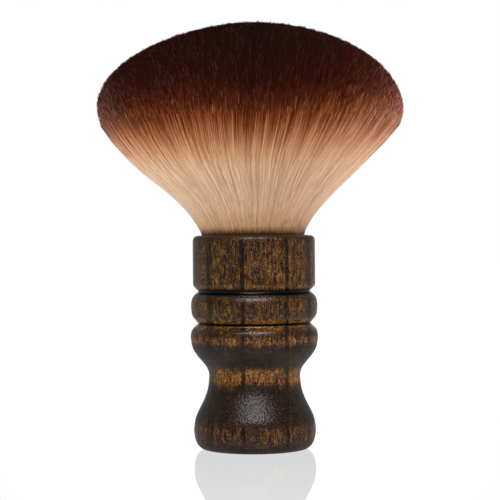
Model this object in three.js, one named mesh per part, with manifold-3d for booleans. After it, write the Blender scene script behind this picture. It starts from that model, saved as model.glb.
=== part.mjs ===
// Neck duster brush: a turned hardwood handle with a wide round tuft of soft filaments.
// Millimetres, +Z up. The origin is the centre of the flat underside, on the turning axis.

import * as THREE from 'three';
import { mergeVertices } from 'three/addons/utils/BufferGeometryUtils.js';
import Module from 'manifold-3d';

const wasm = await Module();
wasm.setup();

// ---------- driving dimensions ----------

const OVERALL_HEIGHT = 145;
const HANDLE_HEIGHT = 72.7;
const GAP = 0.3; // clearance between neighbouring solids
const SEGMENTS = 40; // facets round the axis
const CURVE_STEPS = 5; // points along each curved stretch of an outline

// handle: radius and height of each feature of the turned outline
const FOOT = { r: 17.7, z: 0 };
const BULGE = { r: 20.86, z: 6.6 };
const WAIST = { r: 15.58, z: 24.8 };
const SHOULDER = { r: 21.82, z: 37.8 };
const BEAD = { r: 21.64, z: 48.9 };
const COLLAR = { r: 20.95, bottom: 56.2, corner: 2.1 };
const LOWER_GROOVE = { r: 19.0, bottom: 42.6, top: 43.0, lip: 19.4 };
const UPPER_GROOVE = { r: 19.2, bottom: 53.2, top: 54.3, lip: 19.7 };
const GROOVE_SLOPE = 0.15; // height of each slanted side of a groove

// socket bored in the top of the handle
const SOCKET_RADIUS = 17.8;
const SOCKET_DEPTH = 14;
const SOCKET_CHAMFER = 0.5;
const SOCKET_FLOOR = HANDLE_HEIGHT - SOCKET_DEPTH;

// knot: adhesive bed, resin plug and binding thread
const ADHESIVE_THICKNESS = 0.9;
const ADHESIVE_HEIGHT = 8;
const PLUG_HEIGHT = 5.6;
const PLUG_FLOOR = 2;
const PLUG_WALL = 1;
const THREAD_DIAMETER = 0.9;
const THREAD_PITCH = 1;
const THREAD_TURNS = 3;

// tuft: the filaments leave the collar nearly upright and fan out to a wide rim under a dome
const MOUTH_RADIUS = 17.2; // of the bundle, where it leaves the handle
const NECK = { r: 21.6, z: 85 }; // control points of the side's curve from the mouth to the rim
const FLANK = { r: 43.3, z: 99.6 };
const FLARE_DEPTH = 2; // below the mouth of the socket, where the bundle starts to open
const RIM_RADIUS = 51.9;
const DOME_BASE = 115.9; // height of the widest part
const DOME_RISE = OVERALL_HEIGHT - DOME_BASE;
const DOME_POINT = 1.14; // 1 would trim the tips to an ellipse; more makes the crown more pointed
const RIM_TUCK = 0.2; // radians below the widest part where the side of the tuft meets the trimmed tips
const CORE_SHARE = 0.4; // share of the tuft's radius that the core fills
const MIDDLE_SHARE = 0.75;

// ---------- helpers ----------

const material = (color, roughness) => new THREE.MeshStandardMaterial({ color, roughness, metalness: 0 });

const lathe = (points) => {
  const geometry = new THREE.LatheGeometry(points, SEGMENTS);
  geometry.rotateX(Math.PI / 2); // the lathe turns about Y; the object stands on Z
  return geometry;
};

const outline = (path) => path.getPoints(CURVE_STEPS);

const polygon = (...pairs) => pairs.map(([r, z]) => new THREE.Vector2(r, z));

const toSolid = (geometry) => {
  geometry.deleteAttribute('normal');
  geometry.deleteAttribute('uv');
  const merged = mergeVertices(geometry, 1e-4);
  return new wasm.Manifold(new wasm.Mesh({
    numProp: 3,
    vertProperties: new Float32Array(merged.attributes.position.array),
    triVerts: new Uint32Array(merged.index.array),
  }));
};

const toGeometry = (solid) => {
  const mesh = solid.getMesh();
  const geometry = new THREE.BufferGeometry();
  geometry.setAttribute('position', new THREE.BufferAttribute(mesh.vertProperties, 3));
  geometry.setIndex(new THREE.BufferAttribute(mesh.triVerts, 1));
  geometry.computeVertexNormals();
  return geometry;
};

const named = (name, geometry, surface) => {
  const mesh = new THREE.Mesh(geometry, surface);
  mesh.name = name;
  return mesh;
};

// ---------- materials ----------

const darkWood = material(0x3d2a18, 0.35);
const epoxy = material(0xcfc4a6, 0.25);
const resin = material(0xb9a37a, 0.3);
const waxedThread = material(0xd8d0bf, 0.7);
const darkFilament = material(0x4a2012, 0.55);
const brownFilament = material(0x8a5433, 0.55);
const tanFilament = material(0xc49e7c, 0.55);

// ---------- handle ----------

// from the lower lip of a groove, in along its floor and out to the upper lip
function cutGroove(path, groove) {
  path.lineTo(groove.r, groove.bottom + GROOVE_SLOPE);
  path.lineTo(groove.r, groove.top - GROOVE_SLOPE);
  path.lineTo(groove.lip, groove.top);
}

// A smooth stretch between two features. At each end the curve sets off along the axis for the
// given rise, or slants outwards by `out` as well where a stretch starts or ends at a sharp edge.
function sweep(path, from, to, leave, arrive) {
  path.bezierCurveTo(
    from.r + (leave.out ?? 0), from.z + leave.rise,
    to.r + (arrive.out ?? 0), to.z - arrive.rise,
    to.r, to.z,
  );
}

const lowerLip = (groove) => ({ r: groove.lip, z: groove.bottom });
const upperLip = (groove) => ({ r: groove.lip, z: groove.top });

function makeHandle() {
  const path = new THREE.Path();
  path.moveTo(0, FOOT.z);
  path.lineTo(FOOT.r, FOOT.z);
  sweep(path, FOOT, BULGE, { rise: 0.45, out: 2 }, { rise: 3.6 });
  sweep(path, BULGE, WAIST, { rise: 6.8 }, { rise: 8.9 });
  sweep(path, WAIST, SHOULDER, { rise: 4.8 }, { rise: 6.6 });
  sweep(path, SHOULDER, lowerLip(LOWER_GROOVE), { rise: 3.9 }, { rise: 1.1, out: 0.5 });
  cutGroove(path, LOWER_GROOVE);
  sweep(path, upperLip(LOWER_GROOVE), BEAD, { rise: 1.9, out: 1.3 }, { rise: 4.4 });
  sweep(path, BEAD, lowerLip(UPPER_GROOVE), { rise: 3.2 }, { rise: 0.4, out: 0.3 });
  cutGroove(path, UPPER_GROOVE);
  sweep(path, upperLip(UPPER_GROOVE), { r: COLLAR.r, z: COLLAR.bottom }, { rise: 0.6, out: 0.5 }, { rise: 0.8 });
  path.lineTo(COLLAR.r, HANDLE_HEIGHT - COLLAR.corner);
  path.quadraticCurveTo(COLLAR.r, HANDLE_HEIGHT, COLLAR.r - COLLAR.corner, HANDLE_HEIGHT);
  path.lineTo(SOCKET_RADIUS + SOCKET_CHAMFER, HANDLE_HEIGHT);
  path.lineTo(SOCKET_RADIUS, HANDLE_HEIGHT - SOCKET_CHAMFER);
  path.lineTo(SOCKET_RADIUS, SOCKET_FLOOR);
  path.lineTo(0, SOCKET_FLOOR);
  return lathe(outline(path));
}

// ---------- knot ----------

const ADHESIVE_BOTTOM = SOCKET_FLOOR + GAP;
const PLUG_BOTTOM = ADHESIVE_BOTTOM + ADHESIVE_THICKNESS + GAP;
const ADHESIVE_RADIUS = SOCKET_RADIUS - GAP;
const PLUG_RADIUS = ADHESIVE_RADIUS - ADHESIVE_THICKNESS - GAP;
const PLUG_TOP = PLUG_BOTTOM + PLUG_HEIGHT;
const ROOT_RADIUS = PLUG_RADIUS - PLUG_WALL - GAP;
const ROOT_BOTTOM = PLUG_BOTTOM + PLUG_FLOOR + GAP;

// a cup open upwards, closed on the axis
const cup = (radius, wall, bottom, floor, top) => lathe(polygon(
  [0, bottom], [radius, bottom], [radius, top], [radius - wall, top],
  [radius - wall, bottom + floor], [0, bottom + floor],
));

const makeAdhesive = () => cup(
  ADHESIVE_RADIUS, ADHESIVE_THICKNESS, ADHESIVE_BOTTOM, ADHESIVE_THICKNESS, ADHESIVE_BOTTOM + ADHESIVE_HEIGHT,
);

const makePlug = () => cup(PLUG_RADIUS, PLUG_WALL, PLUG_BOTTOM, PLUG_FLOOR, PLUG_TOP);

class Helix extends THREE.Curve {
  constructor(radius, bottom, pitch, turns) {
    super();
    Object.assign(this, { radius, bottom, pitch, turns });
  }

  getPoint(t, target = new THREE.Vector3()) {
    const angle = 2 * Math.PI * this.turns * t;
    const height = this.bottom + this.pitch * this.turns * t;
    return target.set(this.radius * Math.cos(angle), this.radius * Math.sin(angle), height);
  }
}

function makeBinding() {
  const radius = ROOT_RADIUS + GAP + THREAD_DIAMETER / 2;
  const route = new Helix(radius, PLUG_TOP + GAP + THREAD_DIAMETER / 2, THREAD_PITCH, THREAD_TURNS);
  const section = new THREE.Shape();
  section.absarc(0, 0, THREAD_DIAMETER / 2, 0, 2 * Math.PI);
  return new THREE.ExtrudeGeometry(section, {
    extrudePath: route,
    steps: 16 * THREAD_TURNS,
    curveSegments: 6,
  });
}

// ---------- tuft ----------

// the surface that the tips are trimmed to, by angle above the widest part
const trimmed = (angle) => new THREE.Vector2(
  RIM_RADIUS * Math.cos(angle) ** DOME_POINT,
  DOME_BASE + DOME_RISE * Math.sin(angle),
);

// The side of the tuft: straight up from the roots to the mouth of the socket, then fanned out to
// the tips. `share` is the part of the radius kept and `offset` is added to it all the way up.
function sideOutline(share, offset) {
  const rim = trimmed(-RIM_TUCK);
  const at = (r) => r * share + offset;
  const side = new THREE.Path();
  side.moveTo(at(ROOT_RADIUS), ROOT_BOTTOM);
  side.lineTo(at(ROOT_RADIUS), HANDLE_HEIGHT - FLARE_DEPTH);
  side.lineTo(at(MOUTH_RADIUS), HANDLE_HEIGHT);
  side.bezierCurveTo(at(NECK.r), NECK.z, at(FLANK.r), FLANK.z, at(rim.x), rim.y);
  return side;
}

function makeEnvelope() {
  const steps = 2 * CURVE_STEPS + 2;
  const tips = Array.from({ length: steps }, (_, i) => {
    const rise = (i + 1) / steps;
    return trimmed(-RIM_TUCK + (Math.PI / 2 + RIM_TUCK) * rise);
  });
  tips.at(-1).x = 0;
  const side = outline(sideOutline(1, 0));
  return toSolid(lathe([new THREE.Vector2(0, ROOT_BOTTOM), ...side, ...tips]));
}

// a cone that takes in the inner filaments, carried on clear past the roots and the tips
function makeCone(share, offset) {
  const overshoot = 5;
  const top = OVERALL_HEIGHT + overshoot;
  const bottom = ROOT_BOTTOM - overshoot;
  const side = outline(sideOutline(share, offset));
  const [before, last] = side.slice(-2);
  const slope = (last.x - before.x) / (last.y - before.y);
  side[0].y = bottom;
  side.push(new THREE.Vector2(last.x + slope * (top - last.y), top));
  return toSolid(lathe([new THREE.Vector2(0, bottom), ...side, new THREE.Vector2(0, top)]));
}

function makeBundles() {
  const envelope = makeEnvelope();
  const core = envelope.intersect(makeCone(CORE_SHARE, -GAP / 2));
  const ring = envelope.intersect(makeCone(MIDDLE_SHARE, -GAP / 2));
  const middle = ring.subtract(makeCone(CORE_SHARE, GAP / 2));
  const outer = envelope.subtract(makeCone(MIDDLE_SHARE, GAP / 2));
  return { core: toGeometry(core), middle: toGeometry(middle), outer: toGeometry(outer) };
}

// ---------- assembly ----------

const bundles = makeBundles();
const brush = new THREE.Group();
brush.add(named('handle', makeHandle(), darkWood));
brush.add(named('socket_adhesive', makeAdhesive(), epoxy));
brush.add(named('knot_plug', makePlug(), resin));
brush.add(named('root_binding', makeBinding(), waxedThread));
brush.add(named('bristle_core', bundles.core, darkFilament));
brush.add(named('bristle_middle', bundles.middle, brownFilament));
brush.add(named('bristle_outer', bundles.outer, tanFilament));

export default brush;
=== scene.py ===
"""Looks of the neck duster brush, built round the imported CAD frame, in metres. It faces -Y."""
import math

import bpy
import numpy as np
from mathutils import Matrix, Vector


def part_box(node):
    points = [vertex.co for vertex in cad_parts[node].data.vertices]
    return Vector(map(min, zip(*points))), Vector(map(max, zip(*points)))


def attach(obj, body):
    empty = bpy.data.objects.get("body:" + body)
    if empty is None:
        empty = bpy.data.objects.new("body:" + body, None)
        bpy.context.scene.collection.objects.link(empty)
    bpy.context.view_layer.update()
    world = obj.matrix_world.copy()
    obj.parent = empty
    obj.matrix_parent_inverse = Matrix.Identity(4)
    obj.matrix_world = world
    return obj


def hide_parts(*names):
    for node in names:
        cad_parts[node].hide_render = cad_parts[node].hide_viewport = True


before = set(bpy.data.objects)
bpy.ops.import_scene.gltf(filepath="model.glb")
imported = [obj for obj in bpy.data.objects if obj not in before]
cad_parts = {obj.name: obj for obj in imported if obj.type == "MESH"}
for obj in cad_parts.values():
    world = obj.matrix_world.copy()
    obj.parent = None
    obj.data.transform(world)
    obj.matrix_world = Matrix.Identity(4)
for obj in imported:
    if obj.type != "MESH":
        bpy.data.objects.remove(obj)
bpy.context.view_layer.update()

MM = 0.001
SEED = 20  # of the first piece of the tuft
UV_NAME = "OFBake"

# ---------- sizes read from the frame ----------

HANDLE_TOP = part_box("handle")[1][2]
RIM_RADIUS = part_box("bristle_outer")[1][0]
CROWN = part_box("bristle_core")[1][2]
MOUTH_RADIUS = 17.2 * MM  # of the bundle, where it leaves the collar
DOME_BASE = HANDLE_TOP + 43.2 * MM  # height of the widest part
DOME_POINT = 1.14  # 1 would trim the tips to an ellipse; more makes the crown more pointed
RIM_TUCK = 0.2  # radians below the widest part where the side meets the trimmed tips
EDGE_RADIUS = RIM_RADIUS * math.cos(RIM_TUCK)**DOME_POINT
EDGE_HEIGHT = DOME_BASE - (CROWN - DOME_BASE) * math.sin(RIM_TUCK)
EDGE_FLUSH = 0.15 * MM  # added to the side's last point, so that the edge has no nick

# ---------- small helpers ----------


def smoothstep(low, high, value):
    t = np.clip((value - low) / (high - low), 0, 1)
    return t * t * (3 - 2 * t)


def srgb(red, green, blue):
    """A colour written as 0 to 255, as the linear RGBA that Blender's sockets take."""
    def linear(channel):
        value = channel / 255
        return value / 12.92 if value <= 0.04045 else ((value + 0.055) / 1.055) ** 2.4
    return (linear(red), linear(green), linear(blue), 1.0)


def mesh_object(name, vertices, faces, uv=None, smooth=True):
    """A mesh from arrays: faces has one row for each face, and uv has one for each corner."""
    mesh = bpy.data.meshes.new(name)
    corners = np.concatenate([f.ravel() for f in faces]).astype(np.int32)
    sizes = np.concatenate([np.full(len(f), f.shape[1]) for f in faces])
    starts = np.concatenate([[0], np.cumsum(sizes)[:-1]]).astype(np.int32)
    mesh.vertices.add(len(vertices))
    mesh.vertices.foreach_set("co", np.ascontiguousarray(vertices, dtype=np.float32).ravel())
    mesh.loops.add(len(corners))
    mesh.loops.foreach_set("vertex_index", corners)
    mesh.polygons.add(len(sizes))
    mesh.polygons.foreach_set("loop_start", starts)
    mesh.polygons.foreach_set("use_smooth", np.full(len(sizes), smooth))
    if uv is not None:
        layer = mesh.uv_layers.new(name=UV_NAME)
        layer.data.foreach_set("uv", np.ascontiguousarray(uv, dtype=np.float32).ravel())
    mesh.update(calc_edges=True)
    mesh.validate()
    piece = bpy.data.objects.new(name, mesh)
    bpy.context.scene.collection.objects.link(piece)
    return piece


class Nodes:
    """A short way to write the node tree of a material, or of the world."""

    def __init__(self, owner):
        owner.use_nodes = True
        self.owner = owner
        self.tree = owner.node_tree

    def set(self, **values):
        """Put values on the material's own shader; a space in an input's name is written as _."""
        shader = self.tree.nodes["Principled BSDF"]
        for key, value in values.items():
            self.put(shader.inputs[key.replace("_", " ")], value)

    def add(self, kind, inputs=None, **settings):
        node = self.tree.nodes.new(kind)
        for key, value in settings.items():
            setattr(node, key, value)
        for key, value in (inputs or {}).items():
            self.put(node.inputs[key], value)
        return node

    def put(self, socket, value):
        if isinstance(value, bpy.types.NodeSocket):
            self.tree.links.new(value, socket)
        else:
            socket.default_value = value

    def math(self, operation, a, b=0.0, c=0.0):
        return self.add("ShaderNodeMath", {0: a, 1: b, 2: c}, operation=operation).outputs[0]

    def mix(self, factor, a, b, blend="MIX"):
        """Two colours mixed; 6, 7 and 2 are the places of the node's colour sockets."""
        node = self.add("ShaderNodeMix", data_type="RGBA", blend_type=blend)
        self.put(node.inputs["Factor"], factor)
        self.put(node.inputs[6], a)
        self.put(node.inputs[7], b)
        return node.outputs[2]

    def multiply(self, a, b):
        return self.mix(1.0, a, b, blend="MULTIPLY")

    def ramp(self, factor, stops, interpolation="LINEAR"):
        """A colour ramp; each stop is a place and a colour, or a number for a grey."""
        node = self.add("ShaderNodeValToRGB", {"Fac": factor})
        elements = node.color_ramp.elements
        node.color_ramp.interpolation = interpolation
        while len(elements) < len(stops):
            elements.new(1.0)
        for element, (place, colour) in zip(elements, stops):
            element.position = place
            element.color = colour if isinstance(colour, tuple) else (colour, colour, colour, 1)
        return node.outputs["Color"]

    def noise(self, vector, scale, detail=2.0, roughness=0.5, distortion=0.0):
        node = self.add("ShaderNodeTexNoise", {
            "Vector": vector, "Scale": scale, "Detail": detail,
            "Roughness": roughness, "Distortion": distortion,
        })
        return node.outputs["Fac"]

    def stretched_noise(self, vector, scale, shift=(0, 0, 0), **settings):
        """Noise with its own scale along each axis; a greater scale makes it finer."""
        place = self.add("ShaderNodeMapping", {"Vector": vector, "Scale": scale, "Location": shift})
        return self.noise(place.outputs["Vector"], 1.0, **settings)

    def bump(self, height, distance, normal=None):
        node = self.add("ShaderNodeBump", {"Height": height, "Distance": distance, "Strength": 1.0})
        if normal is not None:
            self.put(node.inputs["Normal"], normal)
        return node.outputs["Normal"]


def new_material(name):
    return Nodes(bpy.data.materials.new(name))


# ---------- handle ----------


def turned_outline(node):
    """The outline of a turned CAD solid, from the axis at the bottom round to the axis again."""
    mesh = bpy.data.objects[node].data
    places, order = {}, {}
    for vertex in mesh.vertices:
        x, y, z = vertex.co
        if abs(y) < 1e-6 and x > -1e-6:
            key = (round(x, 6), round(z, 6))
            places[vertex.index] = key
            order.setdefault(key, set())
    for edge in mesh.edges:
        a, b = (places.get(i) for i in edge.vertices)
        if a is not None and b is not None and a != b:
            order[a].add(b)
            order[b].add(a)
    ends = sorted((k for k in order if k[0] == 0 and len(order[k]) == 1), key=lambda k: k[1])
    walk = [ends[0]]
    while True:
        onward = [k for k in order[walk[-1]] if len(walk) < 2 or k != walk[-2]]
        if not onward:
            return np.array(walk)
        walk.append(onward[0])


def rounded_outline(points, spacing, corner=0.55):
    """Smooth curves through an outline's points, which keep its corners sharp."""
    steps = np.diff(points, axis=0)
    angles = np.arctan2(steps[:, 1], steps[:, 0])
    turns = np.abs((np.diff(angles) + np.pi) % (2 * np.pi) - np.pi)
    corners = [0] + [i + 1 for i, turn in enumerate(turns) if turn > corner] + [len(points) - 1]
    fine = [points[:1]]
    for first, last in zip(corners, corners[1:]):
        run = points[first:last + 1]
        length = np.linalg.norm(np.diff(run, axis=0), axis=1)
        slope = np.diff(run, axis=0) / length[:, None]
        tangent = np.empty_like(run)
        tangent[0], tangent[-1] = slope[0], slope[-1]
        before = (length[:-1]**2 / (length[:-1]**2 + length[1:]**2))[:, None]
        tangent[1:-1] = slope[:-1] * before + slope[1:] * (1 - before)  # the longer side rules
        for i, span in enumerate(length):
            count = max(1, round(span / spacing))
            t = (np.arange(count) + 1)[:, None] / count
            a, b = run[i], run[i + 1]
            m, n = tangent[i] * span, tangent[i + 1] * span
            fine.append((2 * t**3 - 3 * t**2 + 1) * a + (t**3 - 2 * t**2 + t) * m
                        + (3 * t**2 - 2 * t**3) * b + (t**3 - t**2) * n)
    return np.concatenate(fine)


def revolve(name, outline, around):
    """A closed solid of revolution, with U round the axis and V along the outline."""
    rows = outline[1:-1]
    angle = 2 * np.pi * np.arange(around) / around
    ring = np.stack([np.cos(angle), np.sin(angle)], axis=1)
    body = np.empty((len(rows), around, 3))
    body[:, :, :2] = rows[:, None, :1] * ring[None]
    body[:, :, 2] = rows[:, None, 1]
    poles = np.array([[0, 0, outline[0][1]], [0, 0, outline[-1][1]]])
    vertices = np.concatenate([body.reshape(-1, 3), poles])
    run = np.concatenate([[0], np.cumsum(np.linalg.norm(np.diff(outline, axis=0), axis=1))])
    along = run / run[-1]
    here = np.arange(around)
    there = (here + 1) % around
    u0, u1 = here / around, (here + 1) / around
    quads, quad_uv = [], []
    for row in range(len(rows) - 1):
        low, high = row * around, (row + 1) * around
        quads.append(np.stack([low + here, low + there, high + there, high + here], axis=1))
        v0, v1 = np.full(around, along[row + 1]), np.full(around, along[row + 2])
        quad_uv.append(np.stack([u0, v0, u1, v0, u1, v1, u0, v1], axis=1))
    bottom, top = len(vertices) - 2, len(vertices) - 1
    last = (len(rows) - 1) * around
    caps = np.concatenate([
        np.stack([np.full(around, bottom), there, here], axis=1),
        np.stack([np.full(around, top), last + here, last + there], axis=1),
    ])
    low_v, high_v = np.full(around, along[1]), np.full(around, along[-2])
    cap_uv = np.concatenate([
        np.stack([u0, 0 * u0, u1, low_v, u0, low_v], axis=1),
        np.stack([u0, 0 * u0 + 1, u0, high_v, u1, high_v], axis=1),
    ])
    uv = np.concatenate([np.concatenate(quad_uv).ravel(), cap_uv.ravel()]).reshape(-1, 2)
    return mesh_object(name, vertices, [np.concatenate(quads), caps], uv)


BANDS = [  # dark upright sheets of grain: place across the block and width in mm, and brightness
    (-15.1, 2.2, 0.35),
    (-3.9, 1.6, 0.15),
    (10.8, 1.3, 0.25),
    (18.3, 1.5, 0.3),
]
BETWEEN_BANDS = [0.9, 0.85, 1.0, 1.0, 1.05]  # brightness left of each band, and past the last
BLOCK_WIDTH = 44  # mm, of the block that the bands cross
VEIN = (11.9, 0.396)  # place across the block and half the width of a thin golden line, mm
PAINTED_SIDE_SHEEN = [  # painted sheen at the sides: place across the block in mm and how far it greys the wood there
    (-22, 0.8), (-15.5, 0.7), (-13, 0.0), (15, 0.0), (18.5, 0.7), (22, 0.8),
]
SCORCHING = [  # height in mm and how far the torch has charred the wood there
    (0.0, 1.0), (2.0, 0.85), (3.8, 0.35), (5.0, 0.2), (7.6, 0.25), (10.0, 0.88), (20.0, 0.98),
    (22.0, 0.7), (23.3, 0.1), (26.6, 0.05), (29.0, 0.9), (35.4, 0.88), (36.8, 0.1), (38.2, 0.1),
    (39.2, 0.5), (40.6, 0.45), (41.6, 0.05), (44.4, 0.0), (45.4, 0.35), (48.0, 0.2), (52.0, 0.4),
    (54.5, 0.0), (60.0, 0.15), (71.0, 0.35), (72.0, 0.9),
]
FIGURE = [  # height in mm and how strongly the golden figure shows there
    (0.0, 0.0), (5.0, 0.2), (9.0, 0.15), (11.0, 0.0), (22.0, 0.3), (23.5, 1.0), (27.0, 0.9),
    (29.5, 0.3), (35.5, 0.3), (37.0, 0.7), (38.4, 0.7), (39.5, 0.1), (41.0, 0.3), (42.0, 0.9),
    (44.2, 0.8), (45.2, 0.3), (54.4, 0.15), (55.4, 0.5), (56.6, 0.15), (72.0, 0.15),
]
LACQUERED = [(42.5, 43.15), (52.4, 54.4)]  # heights in mm of the two grooves, filled with black
LACQUER_EDGE = 0.15  # mm over which the black ends
RINGS = [42.3, 52.75]  # heights in mm of the thin rounded rings along their lower edges
RING_HALF = 0.4  # mm


def over_height(stops):
    """A ramp's stops, from heights in mm on the handle."""
    return [(mm * MM / HANDLE_TOP, value) for mm, value in stops]


def over_width(stops):
    """A ramp's stops, from places in mm across the block of wood."""
    return [(mm / BLOCK_WIDTH + 0.5, value) for mm, value in stops]


def band_stops():
    """Brightness across the block of wood, which drops at each dark band."""
    stops = []
    for (centre, width, level), left, right in zip(BANDS, BETWEEN_BANDS, BETWEEN_BANDS[1:]):
        for offset, value in ((-0.6, left), (-0.3, level), (0.3, level), (0.6, right)):
            stops.append((centre + offset * width, value))
    return stops


def plain_wood(n, tone, patch, across):
    """Upright streaks, in patches of warm and of greyer brown, and greyed at the sides by painted
    sheen.
    """
    warm = [(0.3, srgb(22, 12, 7)), (0.5, srgb(48, 28, 13)), (0.7, srgb(82, 52, 24))]
    ashen = [(0.3, srgb(32, 23, 20)), (0.5, srgb(56, 42, 36)), (0.7, srgb(80, 63, 55))]
    patches = n.ramp(patch, [(0.36, 0.75), (0.52, 0.0)])
    # the greyer patches are the wood's own; the grey at the sides is painted sheen
    grey_patch_and_sheen = n.math("MAXIMUM", patches, n.ramp(across, over_width(PAINTED_SIDE_SHEEN)))
    return n.mix(grey_patch_and_sheen, n.ramp(tone, warm), n.ramp(tone, ashen))


def golden_figure(n, place, fleck, patch, height, across):
    """How much gold shows, as fine upright lines broken into short dashes, and its colour."""
    line = n.stretched_noise(place, (2600, 2600, 300), detail=2, roughness=0.6)
    strong = n.ramp(height, over_height(FIGURE))
    gold = n.math("ADD", n.math("MULTIPLY", fleck, 0.5), n.math("MULTIPLY", line, 0.5))
    gold = n.math("MULTIPLY_ADD", n.math("SUBTRACT", patch, 0.5), 0.22, gold)
    gold = n.math("MULTIPLY_ADD", strong, 0.06, gold)
    gold = n.ramp(gold, [(0.47, 0.0), (0.61, 1.0)])
    middle, half = VEIN
    vein = n.ramp(across, over_width([(middle - half, 0.0), (middle, 1.0), (middle + half, 0.0)]))
    gold = n.math("MAXIMUM", gold, n.math("MULTIPLY", vein, 0.7))
    hue = n.stretched_noise(place, (900, 900, 340), (3, 1, 2), detail=2)
    hues = [(0.32, srgb(106, 58, 24)), (0.5, srgb(138, 89, 29)), (0.68, srgb(163, 118, 48))]
    return gold, n.multiply(n.ramp(hue, hues), n.ramp(strong, [(0.2, 1.0), (1.0, 1.42)]))


def scorched(n, place, height):
    """How far the torch has charred the turned wood, by height, with a ragged edge."""
    edge = n.stretched_noise(place, (400, 400, 160), (7, 0, 0), detail=3)
    level = n.math("MULTIPLY_ADD", n.math("SUBTRACT", edge, 0.5), 0.04, height)
    return n.ramp(level, over_height(SCORCHING))


def lacquered(n, height):
    stops = []
    for low, high in LACQUERED:
        stops += [(low - LACQUER_EDGE, 0.0), (low, 1.0), (high, 1.0), (high + LACQUER_EDGE, 0.0)]
    return n.ramp(height, over_height(stops))


def wood_relief(n, place, height, fleck, fine, scorch):
    """Pores all over, unevenness that is strongest on scorched wood, and the two thin rings."""
    uneven = n.stretched_noise(place, (1500, 1500, 1250), (1, 5, 3), detail=2)
    roughened = n.math("MULTIPLY_ADD", scorch, 0.7, 0.3)
    uneven = n.math("MULTIPLY", n.math("SUBTRACT", uneven, 0.5), roughened)
    normal = n.bump(uneven, 0.2 * MM)
    normal = n.bump(n.math("MULTIPLY_ADD", fine, 0.6, fleck), 0.02 * MM, normal)
    stops = []
    for middle in RINGS:
        stops += [(middle - RING_HALF, 0.0), (middle, 1.0), (middle + RING_HALF, 0.0)]
    return n.bump(n.ramp(height, over_height(stops), "EASE"), 0.15 * MM, normal)


def wood_material():
    n = new_material("stained_wood")
    place = n.add("ShaderNodeTexCoord").outputs["Object"]
    axes = n.add("ShaderNodeSeparateXYZ", {0: place}).outputs
    height = n.math("DIVIDE", axes["Z"], HANDLE_TOP)

    # the bands are upright sheets across the block, a little wavy along its length
    wander = n.stretched_noise(place, (60, 60, 25), detail=2)
    sheet = n.math("MULTIPLY_ADD", n.math("SUBTRACT", wander, 0.5), 0.9 * MM, axes["X"])
    across = n.math("MULTIPLY_ADD", sheet, 1 / (BLOCK_WIDTH * MM), 0.5)

    tone = n.stretched_noise(place, (1500, 1500, 80), detail=3, roughness=0.65)
    patch = n.stretched_noise(place, (260, 260, 130), detail=2)
    fleck = n.stretched_noise(place, (2200, 2200, 1100), detail=2, roughness=0.6, distortion=0.6)
    fine = n.stretched_noise(place, (3400, 3400, 2700), detail=1)
    gold, golden = golden_figure(n, place, fleck, patch, height, across)
    figured = n.mix(gold, plain_wood(n, tone, patch, across), golden)
    figured = n.multiply(figured, n.ramp(fine, [(0.35, 0.12), (0.53, 1.04)]))  # dark pores
    figured = n.multiply(figured, n.ramp(across, over_width(band_stops())))

    # charred wood is nearly black, with a trace of the gold and clear lines from the turning
    turning = n.stretched_noise(place, (130, 130, 3000), detail=2)
    charred = n.ramp(tone, [(0.3, srgb(16, 11, 9)), (0.7, srgb(32, 22, 16))])
    charred = n.mix(n.math("MULTIPLY", gold, 0.07), charred, golden)
    charred = n.multiply(charred, n.ramp(turning, [(0.35, 0.8), (0.65, 1.25)]))
    scorch = scorched(n, place, height)
    colour = n.mix(scorch, figured, charred)
    colour = n.multiply(colour, n.ramp(turning, [(0.35, 0.9), (0.65, 1.09)]))
    black = lacquered(n, height)
    colour = n.mix(black, colour, srgb(8, 7, 8))

    gloss = n.ramp(fleck, [(0.3, 0.2), (0.7, 0.3)])
    gloss = n.mix(scorch, gloss, (0.34, 0.34, 0.34, 1))
    gloss = n.mix(black, gloss, (0.25, 0.25, 0.25, 1))
    normal = wood_relief(n, place, height, fleck, fine, scorch)
    n.set(Base_Color=colour, Roughness=gloss, Normal=normal, Specular_IOR_Level=0.5)
    return n.owner


def make_handle():
    outline = rounded_outline(turned_outline("handle"), spacing=0.33 * MM)
    handle = revolve("turned_handle", outline, around=240)
    handle.data.materials.append(wood_material())
    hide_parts("handle")
    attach(handle, "root")


# ---------- tuft ----------

SIDE = [  # the outermost filaments, as a Bezier curve of radius and height
    (MOUTH_RADIUS, HANDLE_TOP),
    (21.3 * MM, HANDLE_TOP + 12.3 * MM),
    (44.8 * MM, HANDLE_TOP + 27.0 * MM),
    (EDGE_RADIUS + EDGE_FLUSH, EDGE_HEIGHT),
]
SIDE_SWELL = (0.75, 22, 5.5)  # a slight bulge of that curve: outwards, middle and spread, mm
LEAN = [  # how the tuft leans on its way up: to the right, middle and spread, mm
    (-1.6, 25, 12),
    (-1.1, 51, 12),
    (-0.35, 4, 5),
]
CROWN_LEAN = 0.6  # mm to the right
CROWN_DEPTH = 11 * MM  # over which that lean comes in
ROOT_DEPTH = 2.5 * MM  # how far below the collar's top the shown filaments start
FULL_LENGTH = 80 * MM  # distance along a filament from V = 0 to V = 1
ROOT_V = 0.04  # V where a filament leaves the collar


def swell(height, amount, middle, spread):
    """A smooth bulge, in metres, round a height above the collar; the measures are in mm."""
    return amount * MM * np.exp(-((height - HANDLE_TOP - middle * MM) / (spread * MM))**2)


def side_table():
    """Heights and radii of the outermost filaments, carried on straight above the rim."""
    t = np.linspace(0, 1, 120)[:, None]
    a, b, c, d = (np.array(p) for p in SIDE)
    curve = (1 - t)**3 * a + 3 * (1 - t)**2 * t * b + 3 * (1 - t) * t**2 * c + t**3 * d
    curve[:, 0] += swell(curve[:, 1], *SIDE_SWELL)
    slope = (d - c) / (d[1] - c[1])
    below = [MOUTH_RADIUS - 0.4 * MM, HANDLE_TOP - ROOT_DEPTH]
    above = d + slope * 60 * MM
    table = np.vstack([below, curve, above])
    return table[:, 1], table[:, 0]


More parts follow.
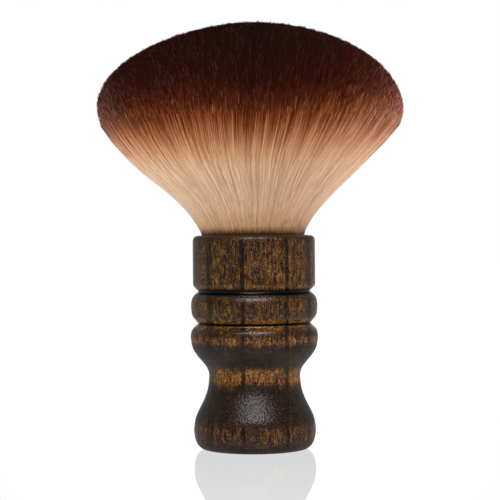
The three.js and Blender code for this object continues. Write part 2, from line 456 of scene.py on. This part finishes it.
SIDE_HEIGHT, SIDE_RADIUS = side_table()
STEEPNESS = np.concatenate([[0], np.cumsum(np.diff(SIDE_RADIUS)**2 / np.diff(SIDE_HEIGHT))])


def fan_radius(share, height):
    """Where the filament that leaves the mouth at `share` of its radius is at each height."""
    return share * np.interp(height, SIDE_HEIGHT, SIDE_RADIUS)


def from_collar(share, height):
    """Length of filament between the collar and a height; a slanted one is longer than its rise."""
    base = np.interp(HANDLE_TOP, SIDE_HEIGHT, STEEPNESS)
    slant = np.interp(height, SIDE_HEIGHT, STEEPNESS) - base
    return height - HANDLE_TOP + 0.43 * share**2 * np.maximum(slant, 0)


def tip_height(share):
    """Height at which each filament meets the trimmed dome, found by halving."""
    low = np.full(np.shape(share), EDGE_HEIGHT)
    high = np.full(np.shape(share), CROWN)
    for _ in range(40):
        middle = (low + high) / 2
        up = (middle - DOME_BASE) / (CROWN - DOME_BASE)
        inside = fan_radius(share, middle) < RIM_RADIUS * np.sqrt(1 - up**2)**DOME_POINT
        low, high = np.where(inside, middle, low), np.where(inside, high, middle)
    return low


TUFT_GRID = 58  # small tufts between the axis and the rim
HIGH_TUFTS = 0.94  # of these random numbers from 0 to 1, the ones above this stand high
LOW_TUFTS = 0.35  # and the ones below this sit low


def tuft_rise(share, angle):
    """The trim isn't perfect: a few small tufts stand above the rest, and others sit low."""
    x, y = (np.round(TUFT_GRID * share * part) for part in (np.cos(angle), np.sin(angle)))
    scatter = np.sin(12.9898 * x + 78.233 * y) * 43758.5453  # the same for a whole small tuft
    scatter = scatter - np.floor(scatter)
    return (0.2 + 0.35 * (scatter > HIGH_TUFTS) - 0.2 * (scatter < LOW_TUFTS)) * MM


def lean(height):
    """The tuft leans a little to the left on its way up, and its crown a little to the right."""
    crown = CROWN_LEAN * MM * smoothstep(CROWN - CROWN_DEPTH, CROWN, height)
    return crown + sum(swell(height, *part) for part in LEAN)


# how the filaments are coloured: the dye isn't quite even on the real tuft, and painted sheen pales
# the tuft's sides

DYE_WAVES = [  # direction in radians, radians of wave in one tuft radius, and depth in mm
    (0.3, 31, 0.5),
    (1.6, 59, 0.5),
    (2.5, 97, 0.5),
    (0.8, 240, 0.7),
    (2.1, 420, 0.8),
]


def dark_start_shift(angle):
    """How much further out the dark tips start than in the middle: most on the tuft's right."""
    right, left = np.clip(np.cos(angle), 0, 1), np.clip(-np.cos(angle), 0, 1)
    on_left = 0.9 * left**0.5 + 10 * left * (1 - left)**2 + 2.2 * left**8
    return (9.7 * right**1.1 + on_left) * MM


def dye_wander(share, angle):
    """Neighbouring filaments are dyed to about the same height, which wanders from tuft to tuft."""
    x, y = share * np.cos(angle), share * np.sin(angle)
    total = 0
    for turn, waves, depth in DYE_WAVES:
        total = total + depth * np.sin(waves * (x * math.cos(turn) + y * math.sin(turn)) + 5 * turn)
    return MM * total


def side_sheen(share, angle):
    """Painted sheen on the filaments: none in the middle, most at the tuft's sides, where it pales
    and brightens them.
    """
    across = share * np.cos(angle)
    return smoothstep(0.45, 1.05, across) + smoothstep(0.6, 1.05, -across)


def strand_uv(shade, distance):
    """U is a filament's shade, as a narrow strip, and V is the distance from the collar."""
    half = 2 / 512  # half the width of the strip
    u = np.clip(shade, half, 1 - half)
    v = np.clip(distance / FULL_LENGTH + ROOT_V, 0, 1)
    v0, v1 = v[:, :-1], v[:, 1:]
    left = np.broadcast_to((u - half)[:, None], v0.shape)
    right = np.broadcast_to((u + half)[:, None], v0.shape)
    strip = np.stack([left, v0, right, v0, right, v1, left, v1], axis=2)
    quads = np.repeat(strip[:, :, None, :], 3, axis=2).reshape(-1, 2)
    root = np.stack([u - half, v[:, 0], u + half, v[:, 0], u, v[:, 1]], axis=1).reshape(-1, 2)
    tip = np.stack([u - half, v[:, -1], u + half, v[:, -1], u, v[:, -2]], axis=1).reshape(-1, 2)
    return np.concatenate([quads, root, tip])


def strand_solids(name, centre, radius, turn, uv):
    """Tapered three-sided solids along centre lines, one for each row of points."""
    count, steps, _ = centre.shape
    tangent = np.gradient(centre, axis=1)
    tangent /= np.linalg.norm(tangent, axis=2, keepdims=True)
    side = np.stack([-np.sin(turn), np.cos(turn), np.zeros(count)], axis=1)[:, None, :]
    side = side - tangent * np.sum(side * tangent, axis=2, keepdims=True)
    side /= np.linalg.norm(side, axis=2, keepdims=True)
    other = np.cross(tangent, side)
    corner = 2 * np.pi * np.arange(3) / 3
    ring = (np.cos(corner)[None, None, :, None] * side[:, :, None, :]
            + np.sin(corner)[None, None, :, None] * other[:, :, None, :])
    vertices = centre[:, :, None, :] + radius[:, :, None, None] * ring
    first = (np.arange(count) * steps * 3)[:, None, None]
    low = first + (np.arange(steps - 1) * 3)[None, :, None]
    a, b = np.arange(3)[None, None, :], (np.arange(3)[None, None, :] + 1) % 3
    quads = np.stack([low + a, low + b, low + 3 + b, low + 3 + a], axis=3).reshape(-1, 4)
    root = first[:, 0] + np.array([[0, 2, 1]])
    tip = first[:, 0] + (steps - 1) * 3 + np.array([[0, 1, 2]])
    return mesh_object(name, vertices.reshape(-1, 3), [quads, root, tip], uv)


CLUMP_ANGLE = 2 * math.pi / 420  # between one clump of filaments and the next
CLUMPING = 0.35  # how far a filament is pulled towards the middle of its clump
TAPER = 12 * MM  # length of the thinner tip of a filament
TIP_SCATTER = 0.08 * MM
DYE_SCATTER = 3 * MM
ORDINARY_SHADES = 0.58  # U from 0 to here is darker to lighter; past it, a filament carries painted sheen


def filaments(name, rng, share, start, steps, material, thickness):
    """Filaments that fan out from the mouth: start is the height of each one's lowest point."""
    count = len(share)
    angle = rng.uniform(0, 2 * np.pi, count)
    clumps = np.round(angle / CLUMP_ANGLE) * CLUMP_ANGLE
    tip = tip_height(share) + tuft_rise(share, angle) + rng.normal(0, TIP_SCATTER, count)
    t = np.linspace(0, 1, steps)[None, :]**rng.uniform(1.0, 1.4, count)[:, None]
    height = start[:, None] + (tip - start)[:, None] * t
    along = (height - HANDLE_TOP) / (EDGE_HEIGHT - HANDLE_TOP)
    sway = rng.normal(0, 0.012, count)[:, None] * along
    pull = (clumps - angle)[:, None] * CLUMPING * np.clip(along, 0, 1)**2
    turn = angle[:, None] + sway + pull
    wide = share[:, None] * (1 + rng.normal(0, 0.004, count)[:, None] * along)
    out = fan_radius(wide, height)
    centre = np.stack([out * np.cos(turn) + lean(height), out * np.sin(turn), height], axis=2)
    radius = thickness * (0.7 + 0.3 * np.clip((tip[:, None] - height) / TAPER, 0, 1)**0.6)

    outermost = smoothstep(0.9, 1.0, share) * rng.uniform(0, 1, count)
    shift = dark_start_shift(angle) + dye_wander(share, angle) + DYE_SCATTER * outermost
    shift = shift + rng.normal(0, DYE_SCATTER, count)
    distance = from_collar(wide, height) - shift[:, None] * np.clip(along, 0, 1)
    shade = 0.5 + 0.09 * np.sin(clumps * 91 + 2) + 0.09 * np.sin(clumps * 5171)  # of each clump
    shade = ORDINARY_SHADES * np.clip(shade + rng.normal(0, 0.2, count), 0, 1)
    # painted sheen: filaments at the tuft's sides get a higher U, which the material pales and
    # brightens
    shade = shade + side_sheen(share, angle) * (rng.uniform(0.1, 0.5, count) + 0.2 * outermost)
    piece = strand_solids(name, centre, radius, angle, strand_uv(shade, distance))
    piece.data.materials.append(material)
    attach(piece, "root")
    return piece


FILAMENT_COLOURS = [  # distance from the collar in mm, and colour
    # the first stops, darker towards the collar, are painted shade where the filaments leave it
    (-2, (78, 50, 32)),
    (0.5, (140, 95, 62)),
    (3, (220, 177, 134)),
    (10, (237, 202, 165)),
    (20, (248, 212, 176)),
    (28, (253, 216, 178)),
    (34, (245, 192, 146)),
    (40, (218, 146, 96)),
    (44, (178, 102, 58)),
    (48, (130, 62, 31)),
    (52, (88, 34, 15)),
    (58, (61, 24, 12)),
    (64, (48, 19, 11)),
    (70, (34, 13, 9)),
]


def uv_axes(n):
    uv = n.add("ShaderNodeUVMap", uv_map=UV_NAME).outputs["UV"]
    axes = n.add("ShaderNodeSeparateXYZ", {0: uv}).outputs
    return uv, axes["X"], axes["Y"]


def filament_colour(n, v):
    full = FULL_LENGTH / MM
    return n.ramp(v, [(mm / full + ROOT_V, srgb(*colour)) for mm, colour in FILAMENT_COLOURS])


def filament_material():
    n = new_material("filament")
    uv, u, v = uv_axes(n)
    # random tone from darker to lighter, and brighter still where U carries painted sheen
    tone_and_sheen = n.ramp(u, [(0.0, (0.64, 0.48, 0.34, 1)), (0.3, 0.99), (0.6, 1.12)])
    streak = n.ramp(n.stretched_noise(uv, (60, 9, 1), detail=2), [(0.3, 0.86), (0.7, 1.08)])
    colour = n.multiply(n.multiply(filament_colour(n, v), tone_and_sheen), streak)
    painted_sheen = n.ramp(u, [(0.48, 0.0), (0.95, 0.45)])
    painted_sheen = n.math("MULTIPLY", painted_sheen, n.ramp(v, [(0.5, 1.5), (0.62, 0.95)]))  # the painted sheen is strongest on the tan part, least where dyed
    # painted sheen: a pale pinkish grey mixed into the filaments' colour
    n.set(Base_Color=n.mix(painted_sheen, colour, srgb(224, 192, 182)))
    n.set(Roughness=0.6, Specular_IOR_Level=0.05)
    return n.owner


def packed_material():
    """The mass of filaments behind the ones that show: the same colours, darkened and warmed as
    painted shade.
    """
    n = new_material("packed_filament")
    uv, _, v = uv_axes(n)
    streak = n.stretched_noise(uv, (260, 5, 1), detail=3, roughness=0.7)
    v = n.math("ADD", v, n.math("MULTIPLY", n.math("SUBTRACT", streak, 0.5), 0.05))
    # painted shade: the filaments behind are darker and warmer, as if in shadow
    shade = n.ramp(streak, [(0.3, (0.62, 0.41, 0.26, 1)), (0.7, (0.86, 0.68, 0.5, 1))])
    n.set(Base_Color=n.multiply(filament_colour(n, v), shade), Normal=n.bump(streak, 0.3 * MM))
    n.set(Roughness=0.8, Specular_IOR_Level=0.05)
    return n.owner


PACKED_SHARE = 0.945  # of the tuft's radius
PACKED_DROP = 2 * MM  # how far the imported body's crown stays below the tips


def packed_outline():
    """Up the side of the tuft and over the dome, just inside the filaments that show."""
    low, rim, crown = HANDLE_TOP - ROOT_DEPTH, EDGE_HEIGHT + 0.5 * MM, CROWN - PACKED_DROP
    height = np.linspace(low, rim, 60)
    side = np.stack([fan_radius(PACKED_SHARE, height), height], axis=1)
    angle = np.linspace(0, np.pi / 2, 40)[1:]
    dome = np.stack([side[-1][0] * np.cos(angle), rim + (crown - rim) * np.sin(angle)], axis=1)
    dome[-1][0] = 0
    return np.vstack([[0, low], side, dome])


def make_packed_body():
    """A closed body inside the filaments that show, so that no light passes between them."""
    body = revolve("packed_filaments", packed_outline(), around=360)
    data = body.data
    place = np.empty(len(data.vertices) * 3, dtype=np.float32)
    data.vertices.foreach_get("co", place)
    place = place.reshape(-1, 3)
    x, y, height = place.T
    share = np.hypot(x, y) / np.maximum(fan_radius(1.0, height), 1e-6)
    distance = from_collar(share, height) - dark_start_shift(np.arctan2(y, x))
    corner = np.empty(len(data.loops), dtype=np.int32)
    data.loops.foreach_get("vertex_index", corner)
    uv = np.empty(len(data.loops) * 2, dtype=np.float32)
    data.uv_layers[UV_NAME].data.foreach_get("uv", uv)
    uv[1::2] = np.clip(distance[corner] / FULL_LENGTH + ROOT_V, 0, 1)
    data.uv_layers[UV_NAME].data.foreach_set("uv", uv)
    place[:, 0] += lean(place[:, 2])
    data.vertices.foreach_set("co", place.ravel())
    data.materials.append(packed_material())
    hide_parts("bristle_core")
    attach(body, "root")


SIDE_PIECES = 5
SIDE_COUNT = 3900  # filaments in each
SIDE_THICKNESS = 0.085 * MM  # radius of one filament
CROWN_PIECES = 5
CROWN_COUNT = 9500
CROWN_THICKNESS = 0.11 * MM
CROWN_LENGTH = 12 * MM  # how much of a crown filament is made, down from its tip


def make_tuft():
    material = filament_material()
    make_packed_body()
    for index in range(SIDE_PIECES):
        rng = np.random.default_rng(SEED + index)
        share = 1 - 0.09 * rng.uniform(0, 1, SIDE_COUNT)**1.4
        start = np.full(SIDE_COUNT, HANDLE_TOP - ROOT_DEPTH)
        name = f"side_filaments_{index + 1}"
        piece = filaments(name, rng, share, start, 9, material, SIDE_THICKNESS)
        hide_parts("bristle_outer")
    for index in range(CROWN_PIECES):
        rng = np.random.default_rng(SEED + 50 + index)
        share = 0.97 * np.sqrt(rng.uniform(0, 1, CROWN_COUNT))
        start = tip_height(share) - CROWN_LENGTH
        name = f"crown_filaments_{index + 1}"
        piece = filaments(name, rng, share, start, 4, material, CROWN_THICKNESS)
        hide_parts("bristle_middle")


# ---------- hidden knot ----------


def speckled(name, low, high, scale, roughness):
    n = new_material(name)
    place = n.add("ShaderNodeTexCoord").outputs["Object"]
    grain = n.noise(place, scale, detail=3)
    n.set(Base_Color=n.ramp(grain, [(0.35, srgb(*low)), (0.65, srgb(*high))]), Roughness=roughness)
    n.set(Normal=n.bump(grain, 0.1 * MM))
    return n.owner


def finish_knot():
    looks = {
        "socket_adhesive": speckled("adhesive", (196, 186, 158), (216, 206, 176), 300, 0.3),
        "knot_plug": speckled("resin", (172, 150, 112), (192, 170, 128), 220, 0.3),
        "root_binding": speckled("thread", (204, 196, 180), (226, 218, 202), 2600, 0.75),
    }
    for node, material in looks.items():
        data = bpy.data.objects[node].data
        data.materials.clear()
        data.materials.append(material)


# ---------- surroundings ----------

CAMERA_PLACE = (-1.3 * MM, -511 * MM, 67.7 * MM)
CAMERA_ROLL = math.radians(0.4)
FLOOR_SIZE = 6.0  # from the middle to each edge, wide enough to have no edge in view
FLOOR_DROP = 0.4 * MM  # below the foot
WALL_LIGHT = [(0.0, 0.05), (0.475, 0.05), (0.775, 1.0), (1.0, 1.0)]  # from the front to the back
WALL_SHEEN = [  # the same, as gloss shows it
    (0.0, 0.03), (0.5, 0.08), (0.75, 0.2), (0.975, 0.24), (0.99, 1.0),
]


def make_camera():
    """Level, a little below the handle's top and about half a metre in front."""
    data = bpy.data.cameras.new("camera")
    data.sensor_width = 36
    data.lens = 107.3
    camera = bpy.data.objects.new("camera", data)
    camera.location = CAMERA_PLACE
    camera.rotation_euler = (math.pi / 2, CAMERA_ROLL, 0)
    bpy.context.scene.collection.objects.link(camera)
    bpy.context.scene.camera = camera


def make_floor():
    """A white sheet of glossy acrylic: it glows white and mirrors a little, most at a low angle."""
    corners = [(-1, -1), (1, -1), (1, 1), (-1, 1)]
    vertices = [(x * FLOOR_SIZE, y * FLOOR_SIZE, -FLOOR_DROP) for x, y in corners]
    floor = mesh_object("floor", np.array(vertices), [np.array([[0, 1, 2, 3]])], smooth=False)
    n = new_material("white_acrylic")
    n.tree.nodes.remove(n.tree.nodes["Principled BSDF"])
    ray = n.add("ShaderNodeLightPath").outputs
    strength = n.math("MULTIPLY_ADD", ray["Is Glossy Ray"], -0.75, 1.05)
    glow = n.add("ShaderNodeEmission", {"Color": (1, 1, 1, 1), "Strength": strength})
    gloss = n.add("ShaderNodeBsdfGlossy", {"Color": (1, 1, 1, 1), "Roughness": 0.0})
    edge_on = n.add("ShaderNodeFresnel", {"IOR": 1.45}).outputs[0]
    amount = n.math("MINIMUM", n.math("MULTIPLY", edge_on, 0.8), 0.38)
    both = n.add("ShaderNodeMixShader", {0: amount, 1: glow.outputs[0], 2: gloss.outputs[0]})
    n.put(n.tree.nodes["Material Output"].inputs["Surface"], both.outputs[0])
    floor.data.materials.append(n.owner)


def make_room():
    """The camera sees plain white; what lights the brush is white at the back and dim in front."""
    world = bpy.data.worlds.new("white_room")
    bpy.context.scene.world = world
    n = Nodes(world)
    direction = n.add("ShaderNodeTexCoord").outputs["Generated"]
    axes = n.add("ShaderNodeSeparateXYZ", {0: direction}).outputs
    span = {"Value": axes["Y"], "From Min": -1.0, "From Max": 1.0, "To Min": 0.0, "To Max": 1.0}
    forward = n.add("ShaderNodeMapRange", span).outputs["Result"]
    ray = n.add("ShaderNodeLightPath").outputs
    strength = n.mix(ray["Is Glossy Ray"], n.ramp(forward, WALL_LIGHT), n.ramp(forward, WALL_SHEEN))
    lit = n.add("ShaderNodeBackground", {"Color": (1, 1, 1, 1), "Strength": strength})
    seen = n.tree.nodes["Background"]
    n.put(seen.inputs["Color"], (1, 1, 1, 1))
    which = {0: ray["Is Camera Ray"], 1: lit.outputs[0], 2: seen.outputs[0]}
    both = n.add("ShaderNodeMixShader", which)
    n.put(n.tree.nodes["World Output"].inputs["Surface"], both.outputs[0])


def make_light(name, place, width, height, radiance, colour=(1, 1, 1), mirrored=True):
    """An oval light that points at the middle of the brush."""
    data = bpy.data.lights.new(name, "AREA")
    data.shape = "ELLIPSE"
    data.size, data.size_y = width, height
    data.energy = radiance * math.pi * width * height
    data.color = colour
    tone_and_sheen = bpy.data.objects.new(name, data)
    tone_and_sheen.location = place
    toward = np.array((0, 0, 80 * MM)) - np.array(place)
    tilt = math.atan2(math.hypot(toward[0], toward[1]), -toward[2])
    tone_and_sheen.rotation_euler = (tilt, 0, math.atan2(toward[1], toward[0]) - math.pi / 2)
    tone_and_sheen.visible_camera = False
    tone_and_sheen.visible_glossy = mirrored
    bpy.context.scene.collection.objects.link(tone_and_sheen)


def make_lights():
    """One softbox above the front, which the gloss shows, and three fills, which it doesn't."""
    make_light("key_softbox", (0, -0.596, 0.606), 0.66, 0.15, 10.6, (1, 0.97, 0.98))
    make_light("front_fill", (0, -1.3, 0.1), 1.6, 0.8, 0.75, mirrored=False)
    make_light("left_fill", (-0.7, -0.2, 0.1), 0.6, 0.6, 1.2, mirrored=False)
    make_light("right_fill", (0.7, -0.2, 0.1), 0.6, 0.6, 2.2, mirrored=False)


make_camera()
make_floor()
make_room()
make_lights()
make_handle()
make_tuft()
finish_knot()
bpy.context.scene.view_settings.view_transform = "Standard"
